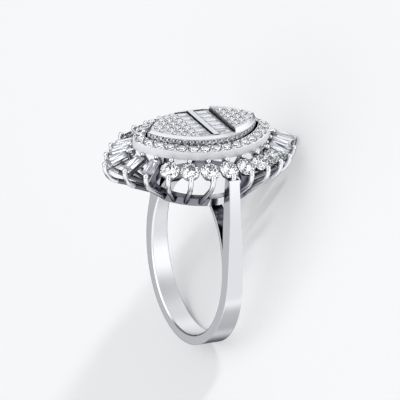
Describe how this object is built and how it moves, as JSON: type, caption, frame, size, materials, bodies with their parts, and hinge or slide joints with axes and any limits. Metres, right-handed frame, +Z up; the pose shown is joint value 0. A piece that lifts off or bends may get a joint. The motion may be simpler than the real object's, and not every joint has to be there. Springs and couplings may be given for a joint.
{
  "type": "cocktail ring",
  "caption": "Cocktail ring with a navette head: a stone-set plaque inside two stone halos, held by bent wire claws on a gallery rail over a flat-sided band.",
  "frame": {"origin": "middle of the bottom face of the bounding box, on the surface that the ring lies on", "axes": "+Z up from the surface, +Y from the band's foot towards the head's lower tip, +X from one shoulder to the other, across the ring's plane of symmetry"},
  "size_m": [0.0204, 0.0265, 0.0213],
  "materials": {
    "white_gold": "polished",
    "diamond": "faceted, clear"
  },
  "bodies": {
    "root": {"ring_mount": "white_gold", "round_stone_01": "diamond", "round_stone_02": "diamond", "round_stone_03": "diamond", "round_stone_04": "diamond", "round_stone_05": "diamond", "round_stone_06": "diamond", "round_stone_07": "diamond", "round_stone_08": "diamond", "round_stone_09": "diamond", "round_stone_10": "diamond", "round_stone_11": "diamond", "round_stone_12": "diamond", "round_stone_13": "diamond", "round_stone_14": "diamond", "end_baguette_01": "diamond", "end_baguette_02": "diamond", "end_baguette_03": "diamond", "end_baguette_04": "diamond", "end_baguette_05": "diamond", "end_baguette_06": "diamond", "end_baguette_07": "diamond", "end_baguette_08": "diamond", "end_baguette_09": "diamond", "end_baguette_10": "diamond", "plaque_baguette_01": "diamond", "plaque_baguette_02": "diamond", "plaque_baguette_03": "diamond", "plaque_baguette_04": "diamond", "plaque_baguette_05": "diamond", "plaque_baguette_06": "diamond", "plaque_baguette_07": "diamond", "plaque_baguette_08": "diamond", "plaque_baguette_09": "diamond", "plaque_baguette_10": "diamond", "plaque_baguette_11": "diamond", "plaque_baguette_12": "diamond", "halo_pave": "diamond", "pave_left": "diamond", "pave_right": "diamond", "skirt_pave": "diamond"}
  },
  "joints": []
}
